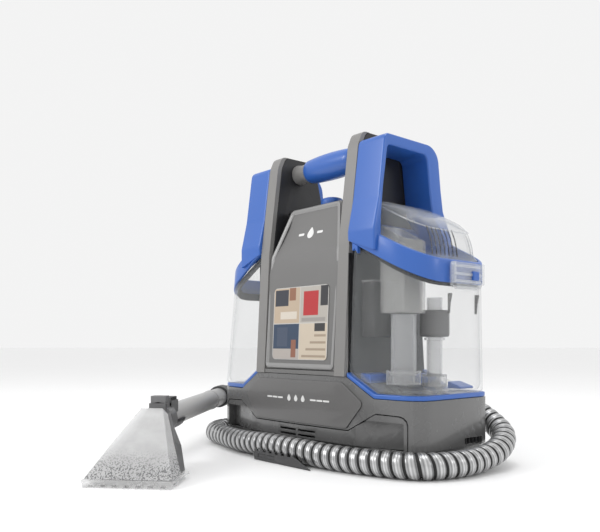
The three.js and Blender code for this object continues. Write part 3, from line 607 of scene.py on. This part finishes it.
def part_line(x):
    """Height of the sloping line where the reservoir and its frame meet."""
    return PART_Z + PART_SLOPE * (x - PART_X)


def seat_line(x):
    """Height of the seat under the tank: level outside, rising to the tower's foot."""
    return SEAT + np.clip((SEAT_BEND - x) / (SEAT_BEND - TOWER_OUT), 0, 1) * (TOWER_FOOT - SEAT)


def climbed(z):
    """How far z is up the lower and the upper part of the tank, each from 0 to 1."""
    lower = np.clip((z - TANK_LOW) / (TANK_MIDDLE - TANK_LOW), 0, 1)
    upper = np.clip((z - TANK_MIDDLE) / (TANK_HIGH - TANK_MIDDLE), 0, 1)
    return lower, upper


def tank_plan(inset, z):
    """Rounded plan of the right-hand tank, inset all round, narrowing and leaning back upwards."""
    lower, upper = climbed(z)
    side = 194.5 - 2.5 * lower - 2 * upper - inset
    lean = 0.8 + 6 * lower + 8 * upper + inset
    inner, back = 90 + inset, 73 - inset
    corners = [
        (inner, back, max(8 - inset, 2)), (inner, front_at(inner) + lean, max(7 - inset, 2)),
        (135, front_at(135) + lean, 0),
        (side, front_at(side - 20) + lean, max(26 + 19 * lower - inset, 2)),
        (side, back, max(30 - inset, 2)),
    ]
    return rounded(corners, 14)


def tank_ring(inset, height):
    """One ring of the tank: height(x) is its z, and the plan there lies between the plans at the
    tank's low, middle and high levels."""
    low, middle, high = (tank_plan(inset, z) for z in (TANK_LOW, TANK_MIDDLE, TANK_HIGH))
    lower, upper = climbed(height(middle[:, 0]))
    plan = low + (middle - low) * lower[:, None] + (high - middle) * upper[:, None]
    return np.column_stack([plan, height(plan[:, 0])])


def shrunk(ring, share, height):
    """The ring drawn in towards its middle, to share of its size, at its own height."""
    middle = (ring.max(0) + ring.min(0)) / 2
    plan = middle[:2] + (ring[:, :2] - middle[:2]) * share
    return np.column_stack([plan, height(plan[:, 0])])


def flipped(grid, side):
    """The grid as it is where side is 1, and on the other side of the machine where it is -1."""
    return grid * np.array([side, 1, 1])


def make_reservoir(name, node, side):
    """Open vessel: its floor follows the seat, its wall rises to the parting plane, and the same
    rings inset by the wall come back down inside."""
    def level(share, lift=0.0):
        def height(x):
            low = seat_line(x) + TANK_LIFT + lift
            return low + (part_line(x) - 0.35 - low) * share
        return height

    rings = []
    outer = tank_ring(3, level(0))
    rings += [shrunk(outer, s, level(0)) for s in (0.02, 0.25, 0.5, 0.75)]
    rings += [outer, tank_ring(0.9, level(0, 0.9)), tank_ring(0, level(0, 3))]
    rings += [tank_ring(0, level(s)) for s in np.linspace(0.06, 1, 15)]
    rings += [tank_ring(TANK_WALL, level(s, TANK_WALL)) for s in np.linspace(1, 0.05, 15)]
    inner = tank_ring(TANK_WALL + 3, level(0, TANK_WALL))
    rings += [inner] + [shrunk(inner, s, level(0, TANK_WALL)) for s in (0.75, 0.5, 0.25, 0.02)]
    piece = grid_piece(name, flipped(np.array(rings), side))
    return install(piece, CLEAR, node, angle=40)


DOME_LEVELS = np.array([
    (BAND_IN + 0.4, 3), (BAND_IN + 0.5, BAND - 1), (8, BAND + 2), (9.2, BAND + 12), (12, BAND + 22),
    (17, BAND + 31), (27, BAND + 36.5), (38, BAND + DOME),
])


def make_dome(name, node, side):
    """Crowned lid: rings rise along a smooth line of (inset, height) and close at the top; the
    outer side carries upright flutes, a cosine of the angle round the tank times a reach."""
    line, _ = smooth_path(np.column_stack([DOME_LEVELS, np.zeros(len(DOME_LEVELS))]), 2.6)

    def skin(drop):
        rings = []
        for inset, high, _ in line:
            ring = tank_ring(inset + drop, lambda x: part_line(x) + high - drop * 0.9)
            strength = np.clip((high - BAND - 3) / 5, 0, 1) * np.clip((BAND + 30 - high) / 6, 0, 1)
            outer = np.clip((ring[:, 0] - 150) / 12, 0, 1) * np.clip((ring[:, 1] + 5) / 12, 0, 1)
            walked = np.arctan2(ring[:, 1] - 10, ring[:, 0] - 120) * FLUTE_REACH
            wave = 1 - np.cos(walked * 2 * math.pi / FLUTE_PITCH)
            ring[:, 0] -= FLUTE_DEPTH * strength * outer * wave
            rings.append(ring)
        top = rings[-1]
        for share in (0.7, 0.35, 0.02):
            high = BAND + DOME - drop + 1 - share
            rings.append(shrunk(top, share, lambda x: part_line(x) + high))
        return rings

    rings = skin(2.4)[::-1] + skin(0)
    piece = grid_piece(name, flipped(np.array(rings), side))
    return install(piece, CLEAR_DOME, node, angle=50)


def arch_grid():
    """The carry arch: an outer and an inner side line with the same number of points; across
    them runs a rectangle with rounded corners."""
    outer = rounded([
        (-79.5, 262), (-79.5, 288, 25), (-70, 327, 50), (-59.5, 405, 9), (43, 405, 24),
        (50, 350, 60), (55, 322, 16), (72, 292, 8), (72, 255),
    ], 9, closed=False)
    inner = rounded([
        (-66, 262), (-66, 300, 20), (-62.5, 340, 50), (-54, 391, 7), (21, 391, 9),
        (27, 345, 60), (32, 316, 12), (60, 282, 8), (60, 255),
    ], 9, closed=False)
    away = outer - inner
    thick = np.linalg.norm(away, axis=1)[:, None]
    away /= thick
    section = rounded([(88.9, 0, 2.4), (133, 0, 2.8), (133, 14, 2.8), (88.9, 14, 2.4)], 5)
    x, depth = section[:, 0], section[:, 1]
    from_inner = depth < 7
    share = np.where(from_inner, depth, depth - 14)[None, :, None]
    share = np.clip(share, -thick[:, None] / 2.2, thick[:, None] / 2.2)
    line = np.where(from_inner[None, :, None], inner[:, None], outer[:, None]) + share * away[:, None]
    grid = np.concatenate([np.broadcast_to(x[None, :, None], line.shape[:2] + (1,)), line], axis=2)
    grid[..., 2] = np.maximum(grid[..., 2], part_line(grid[..., 0]) + 0.3)
    return grid


def make_frame(name, node, side):
    """Blue upper frame: the band is a rounded rectangle of (inset, height) carried round the
    tank's plan and brought forward near the tower, and the carry arch stands on it."""
    section = rounded([(-1.3, 0, 1.2), (BAND_IN, 0, 0.8), (BAND_IN, BAND, 1.2), (-1.3, BAND, 1.6)], 4)
    rings = [tank_ring(inset, lambda x, high=high: part_line(x) + high) for inset, high in section]
    rings = np.array(rings)
    towards_tower = 1 - np.clip((rings[..., 0] - 96) / 80, 0, 1)
    front = np.clip((20 - rings[..., 1]) / 60, 0, 1)
    rings[..., 1] -= BAND_FORWARD * towards_tower**2 * (3 - 2 * towards_tower) * front
    band = grid_piece(name + "_band", flipped(rings, side), wrap_rows=True)
    install(band, BLUE, node, angle=40)
    arch = grid_piece(name + "_arch", flipped(arch_grid(), side))
    install(arch, BLUE, body=BODY_OF[node], slot="blue", angle=35)


def make_tanks():
    """Both tanks, and the waste tank's tubes, float, duct, latch and inserts."""
    for side, word in ((1, "dirty"), (-1, "clean")):
        make_reservoir(word + "_tank_skin", word + "_reservoir", side)
        make_dome(word + "_dome_skin", word + "_dome", side)
        make_frame(word + "_upper", word + "_frame", side)
        finished(word + "_seal", RUBBER, 0)
    floor = SEAT + TANK_LIFT + TANK_WALL + 1
    install(lathe("standpipe_tube", [
        (13.6, floor + 8, 0), (21.5, floor + 8, 2), (21.5, 100, 4), (15.5, 112, 6), (15.5, 184.5, 0.5),
        (16.4, 185, 0.4), (16.4, 186, 0.4), (13.6, 186, 0),
    ], STANDPIPE, UP), CLEAR_PIPE, "standpipe")
    install(lathe("guide_tube", [
        (8, floor + 4, 0), (15.5, floor + 4, 2), (15.5, 95, 3), (9.8, 110, 4), (9.8, 154, 0.4),
        (12.8, 154.6, 0.5), (12.8, 157.6, 0.5), (9.8, 158, 0.4), (9.8, 208, 0.8), (8, 208, 0),
    ], FLOAT_GUIDE, UP), CLEAR_PIPE, "float_guide")
    install(lathe("float_ring", [
        (10.8, 158.6, 0.8), (17, 158.6, 1.5), (18.5, 161, 1.5), (18.5, 189.5, 2), (16.8, 192, 1.5),
        (10.8, 192, 0.8),
    ], FLOAT_GUIDE, UP), FLOAT, "float")
    finished("separator_duct", FROSTED, 1.2)
    make_latch()
    make_tank_inserts()
    finished("clean_valve", BLUE, 0.6)


def block(name, low, high, material, body, slot, edge=0.5):
    """Block between two corners, its edges rounded."""
    xs, ys, zs = zip(low, high)
    corners = np.array([(x, y, z) for z in zs for y in ys for x in xs], float)
    faces = [(0, 2, 3, 1), (4, 5, 7, 6), (0, 1, 5, 4), (2, 6, 7, 3), (0, 4, 6, 2), (1, 3, 7, 5)]
    piece = mesh_object(name, corners, faces)
    if edge:
        soften_edges(piece, edge)
    return install(piece, material, body=body, slot=slot)


def prism(name, outline, start, depth, axis, material, body, slot, edge=0.3):
    """Closed outline carried straight along the y or x axis (axis 1 or 0) from start by depth;
    its two numbers are the other two coordinates in order."""
    flat = np.array(outline, float)
    others = [k for k in (0, 1, 2) if k != axis]
    grid = np.zeros((2, len(flat), 3))
    grid[..., others] = flat[None]
    grid[0, :, axis], grid[1, :, axis] = start, start + depth
    piece = grid_piece(name, grid)
    if edge:
        soften_edges(piece, edge)
    return install(piece, material, body=body, slot=slot)


def tube(name, loop, radius, material, body, slot, sides=8):
    """Round bead along a closed loop: rings of radius across the loop's own direction."""
    along = np.roll(loop, -1, axis=0) - np.roll(loop, 1, axis=0)
    along /= np.linalg.norm(along, axis=1)[:, None]
    side = np.cross(along, UP)
    side /= np.linalg.norm(side, axis=1)[:, None]
    up = np.cross(side, along)
    angle = np.linspace(0, 2 * math.pi, sides, endpoint=False)[None, :, None]
    grid = loop[:, None] + radius * (np.cos(angle) * side[:, None] + np.sin(angle) * up[:, None])
    return install(grid_piece(name, grid, wrap_rows=True), material, body=body, slot=slot, angle=80)


def make_latch():
    """Clear latch with three raised bars, end plates and a blue catch; on the tank, two thin fins
    run down from its lugs, tinted dark as painted shade for the dark edges of the clear lugs."""
    finished("dirty_latch", CLEAR_LATCH, 0.8)
    on_latch = ("dirty_latch", "clear")
    for k, z in enumerate((222.5, 231, 240.5)):
        block(f"latch_bar_{k}", (198.9, -13, z), (201.3, 39, z + 3.4), CLEAR_LATCH, *on_latch, 0.9)
    for k, y in enumerate((-17, 40)):
        block(f"latch_end_{k}", (197.6, y, 221), (203.4, y + 3, 246.5), CLEAR_LATCH, *on_latch, 1.0)
    block("latch_catch", (199, 21, 226), (202.8, 33, 237), BLUE, "dirty_latch", "blue", 1.2)
    # Fins in dark-tinted clear: painted shade for the dark lines the clear lugs show.
    fin = [(191, 186), (193.6, 186), (194.6, 198), (196.9, 208), (196.6, 209.6), (191, 209.6)]
    for k, y in enumerate((-14.6, 39.4)):
        prism(f"latch_fin_shade_{k}", fin, y, 1.1, 1, CLEAR_EDGE_SHADE, "dirty_tank", "clear", 0)


def make_tank_inserts():
    """Waste tank: blue wells round the tubes, a smoky splash box with a frosted rail, dark flutes
    that are painted shade and a pale shoulder bead that is a painted highlight on the dome, and a
    blue tooth under the band beside the tower."""
    wells = {
        "front": ([(94, 104.3), (111, 101), (111, 112), (94, 113.5)], -62, 34),
        "rear": ([(94, 104.3), (122, 98.5), (122, 107), (94, 111)], 20, 34),
        "side": ([(162, 94.3), (182, 94.3), (182, 97), (162, 103)], 24, 26),
    }
    for word, (outline, start, depth) in wells.items():
        prism("well_" + word, outline, start, depth, 1, BLUE, "dirty_tank", "blue", 1.0)
    block("splash_box", (94.5, -60, 158), (115, -22, 226), SMOKY, "dirty_lid", "clear", 2.5)
    block("splash_rail", (94.5, -61, 226), (115, -12, 228.5), FROSTED, "dirty_lid", "clear", 0.6)
    # Dark flutes: thin dark-tinted strips on the dome's outer side, painted shade for the dark lines
    # of its clear flutes.
    levels = DOME_LEVELS[2:6] + (0.2, 0)
    x = 192.2 - levels[:, 0]
    z = part_line(x) + levels[:, 1]
    flute = np.vstack([np.column_stack([x, z]), np.column_stack([x - 1.1, z - 0.6])[::-1]])
    for k, y in enumerate(np.linspace(-34, 14, 7)):
        prism(f"dome_flute_shade_{k}", flute, y, 0.9, 1, CLEAR_EDGE_SHADE, "dirty_lid", "clear", 0)
    # Pale bead round the dome's shoulder: a painted highlight, a whiter clear line along its upper
    # edge.
    shoulder = tank_ring(15.2, lambda x: part_line(x) + BAND + 29.6)
    tube("dome_shoulder_highlight", shoulder, 0.9, CLEAR_LATCH, "dirty_lid", "clear")
    tooth = [(97, 273), (97, 263.5), (101, 266), (106, 259.5), (106, 268.5)]
    prism("band_tooth", tooth, -79.4, 5, 1, BLUE, "dirty_lid", "blue")


# ---------------------------------------------------------------- tower and handle
HANDLE_Y, HANDLE_Z = -20, 396
PANEL_LINE = np.array([
    (-82.5, 115.5), (-76, 250), (-71, 272), (-62.5, 292), (-56, 311), (-50.5, 337.6),
])


def panel_y(z):
    """Front of the tower's panel at height z, read off its side line."""
    return np.interp(z, PANEL_LINE[:, 1], PANEL_LINE[:, 0])


def cover_y(z):
    """Back of the tower's cover at height z, which leans forward by 12 over 139."""
    return 71.2 - 12 * (z - 111) / 139


def make_handle():
    """Carry handle: a grip that swells gently towards its middle, between stepped collars."""
    half = 45
    lengths = np.linspace(3 - half, half - 3, 15)
    swell = [(16 + 2.6 * math.cos(x / half * math.pi / 2) ** 0.8, x, 0) for x in lengths]
    grip = lathe("handle_sleeve", [
        (8.4, -half, 0), (14.6, -half, 1), *swell, (14.6, half, 1), (8.4, half, 0),
    ], (0, HANDLE_Y, HANDLE_Z), (1, 0, 0))
    install(grip, BLUE, "handle_grip")
    for side, word in ((1, "right"), (-1, "left")):
        collar = lathe("collar_" + word, [
            (8.4, 45.4, 0), (12.6, 45.4, 0.8), (12.6, 49, 0.5), (12, 49.8, 0.4), (12.6, 50.6, 0.5),
            (12.6, 60, 1), (14.5, 69.6, 0.6), (8.4, 69.6, 0),
        ], (0, HANDLE_Y, HANDLE_Z), (side, 0, 0))
        install(collar, LIGHT, "handle_collar_" + word)


def make_button():
    """Round power button with a domed top and a ring groove, in a stepped bezel."""
    button = lathe("start_button", [
        (0, 330, 0), (4, 330, 0.5), (4, 338.5, 0.3), (15.8, 338.5, 0.6), (15.8, 346, 1.2),
        (14.2, 350, 2), (9.5, 351.6, 0.4), (8.8, 351, 0.3), (8, 351.9, 0.4), (0, 352.8, 0),
    ], (0, HANDLE_Y, 0), UP)
    install(button, BLUE, "power_button")
    finished("switch_deck", DARK, 0.8)


def droplet(scale, count=40):
    """Flat outline of a drop: a circle whose upper part is drawn out to a point."""
    angle = np.linspace(0, 2 * math.pi, count, endpoint=False)
    x = np.sin(angle) * (1 - 0.62 * np.clip(np.cos(angle), 0, 1) ** 1.5)
    z = np.cos(angle) * np.where(np.cos(angle) > 0, 1.55, 1.0)
    return np.column_stack([x, z]) * scale


def make_mark(name, outlines, surface_y, node, proud=0.25):
    """Thin raised mark: each outline (x, z) is laid on surface_y(x, z) and given a thickness."""
    points, faces = [], []
    for outline in outlines:
        x, z = outline.T
        y = surface_y(x, z)
        start = sum(len(p) for p in points)
        points += [np.column_stack([x, y - proud, z]), np.column_stack([x, y + 0.3, z])]
        n = len(outline)
        faces.append([start + k for k in range(n)])
        faces.append([start + n + k for k in range(n)][::-1])
        faces += [[start + k, start + n + k, start + n + (k + 1) % n, start + (k + 1) % n]
                  for k in range(n)]
    piece = mesh_object(name, np.vstack(points), faces)
    return install(piece, WHITE, body=BODY_OF[node], slot="white", angle=30)


def make_marks():
    """A drop between two short bars on the tower, and a line with drops on the badge."""
    def bar(x0, x1, z0, z1, cut=1.2):
        return rounded([(x0, z0, cut), (x1, z0, cut), (x1, z1, cut), (x0, z1, cut)], 4)

    drop = droplet(6) + (0, 298)
    bars = [bar(-24, -13, 297, 300.4), bar(13, 24, 297, 300.4)]
    make_mark("tower_mark", [drop, *bars], lambda x, z: panel_y(z), "tower_front")
    drops = [droplet(3.4) + (x, 77) for x in (-14, 0, 14)]
    sections = [bar(x, x + 10.6, 76, 78.2, 0.8) for x in (-62, -50, -38, 28, 40, 52)]
    make_mark("badge_mark", [*drops, *sections], lambda x, z: front_at(x) - 1.8, "badge_panel")


def make_tower():
    """The tower's mouldings and label, with a sill, side seams, webs behind the uprights, and
    screws in the back cover."""
    finished("tower_front", PANEL, 1.2)
    finished("tower_back", GREY, 0.8)
    for side in ("left", "right"):
        finished("upright_" + side, DARK, 1.6)
        finished("strip_" + side, LIGHT, 1.6)
    finished("picture_label", LABEL, 0)
    make_rim()
    block("tower_sill", (-69.4, -84.2, 109.5), (69.4, -74, 115.1), PANEL, "base", "grey", 0.7)
    for k, x in enumerate((88.6, -89.5)):
        block(f"tower_seam_{k}", (x, -77.5, 113), (x + 0.9, -55, 262), BLACK, "base", "black", 0)
    web = [(5, 262), (57, 262), (50, 300), (38, 345), (27, 392), (20, 401), (5, 404)]
    for k, x in enumerate((80, -88.3)):
        prism(f"upright_web_{k}", web, x, 8.3, 0, DARK, "base", "dark", 1.4)
    head = [(0, -1, 0), (4.2, -1, 0), (4.2, 0.9, 0.5), (1.6, 0.9, 0.2), (1.5, 0.2, 0), (0, 0.2, 0)]
    for k, (x, z) in enumerate(((-56, 136), (56, 136), (-56, 236), (56, 236))):
        screw = lathe(f"cover_screw_{k}", head, (x, cover_y(z), z), (0, 1, 0), 32)
        install(screw, METAL, body="base", slot="metal")


def make_rim():
    """Raised edge of the front panel: six rings that follow the panel's outline, each moved in
    along the outline's own normal and lifted off the panel's curve. It is painted a lighter grey
    than the panel, as a highlight along the bevel."""
    outline = rounded([
        (-68.6, 117, 7), (68.6, 117, 7), (68.6, 272, 24),
        (48.6, 336.4, 8), (-48.6, 336.4, 8), (-68.6, 272, 24),
    ], 10)
    ahead = np.roll(outline, -1, axis=0) - np.roll(outline, 1, axis=0)
    inward = np.column_stack([-ahead[:, 1], ahead[:, 0]])
    inward /= np.linalg.norm(inward, axis=1)[:, None]
    rings = []
    for inset, lift in ((0, -0.6), (0.3, 1.7), (1.6, 2.3), (3.2, 2.1), (6.4, 0.25), (6.4, -0.6)):
        x, z = (outline + inward * inset).T
        rings.append(np.column_stack([x, panel_y(z) - lift, z]))
    rim = grid_piece("panel_rim", np.array(rings), wrap_rows=True)
    # Lighter grey: painted highlight on the rim.
    install(rim, RIM_HIGHLIGHT, body="base", slot="grey", angle=50)


# ---------------------------------------------------------------- base
def make_base():
    """The base's mouldings, hooks and feet, and slats before a black block, painted shade inside the
    side vent.
    """
    finished("base_housing", GREY, 1.0)
    finished("front_skirt", GREY, 0.9)
    finished("badge_panel", BADGE, 0.5)
    finished("base_pan", GREY, 0.8)
    for side in ("left", "right"):
        finished("seat_trim_" + side, BLUE, 1.2)
    finished("hose_cradle", CLIP, 0.4)
    finished("hose_outlet", CLIP, 0.8)
    for node in ("cord_hook_upper", "cord_hook_lower"):
        finished(node, DARK, 1.4)
    finished("cord_gland", RUBBER, 0.4)
    # Painted shade: a black block behind the slats, where the inside of the vent lies in shadow.
    block("vent_shade_block", (188.5, 14.6, 29), (190, 49.4, 35.6), BLACK, "base", "black", 0)
    for k in range(5):
        y = 17 + 7 * k
        block(f"vent_slat_{k}", (189.8, y, 29), (194.4, y + 1.6, 35.6), CLIP, "base", "black", 0.3)
    for row in ("front", "rear"):
        for side in ("left", "right"):
            finished(f"foot_{row}_{side}", RUBBER, 0.4)


HIDDEN_WORKS = {
    "valve_seat": DARK, "power_switch": BLACK, "fan_housing": BLACK, "water_pump": BLACK,
    "handle_core": METAL, "suction_fan": METAL, "fan_motor": METAL, "latch_pin": METAL,
    "trigger_pin": METAL,
}


def finish_works():
    """Plain finishes for the works that stay out of sight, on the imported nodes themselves."""
    for node, material in HIDDEN_WORKS.items():
        data = frame["nodes"][node].data
        data.materials.clear()
        data.materials.append(material)


make_tool()
make_lock_socket()
make_tanks()
make_handle()
make_button()
make_tower()
make_marks()
make_base()
finish_works()


# ---------------------------------------------------------------- floor and light
def make_stage():
    """A wide pale floor and a soft studio: a pale sky, a key, a fill and a top light."""
    half = 40.0
    data = bpy.data.meshes.new("floor")
    corners = [(-half, -half, 0), (half, -half, 0), (half, half, 0), (-half, half, 0)]
    data.from_pydata(corners, [], [(0, 1, 2, 3)])
    floor = placed("floor", data)
    r = Recipe("pale_floor")
    colour = r.mix(r.noise(3), (0.93, 0.93, 0.93), (0.955, 0.955, 0.955))
    data.materials.append(r.done(r.surface(Base_Color=colour, Roughness=0.5)))

    world = bpy.data.worlds.new("studio")
    world.use_nodes = True
    back = world.node_tree.nodes["Background"]
    back.inputs["Color"].default_value = (1, 1, 1, 1)
    back.inputs["Strength"].default_value = 0.9
    bpy.context.scene.world = world

    lights = [
        ("key", (-0.6, -1.4, 1.1), (0, 0, 0.2), 0.6, 9),
        ("side", (1.5, 0.6, 0.8), (0.1, 0, 0.2), 0.4, 2),
        ("top", (0.1, 0.1, 1.8), (0, 0, 0.2), 0.9, 9),
    ]
    for name, place, target, size, power in lights:
        lamp = bpy.data.lights.new(name, "AREA")
        lamp.size, lamp.energy = size, power
        piece = placed(name, lamp)
        piece.location = place
        direction = np.array(target) - np.array(place)
        yaw = math.atan2(direction[1], direction[0]) - math.pi / 2
        pitch = math.atan2(-direction[2], math.hypot(direction[0], direction[1]))
        piece.rotation_euler = (math.pi / 2 - pitch, 0, yaw)
    bpy.context.scene.view_settings.view_transform = "Standard"


make_stage()
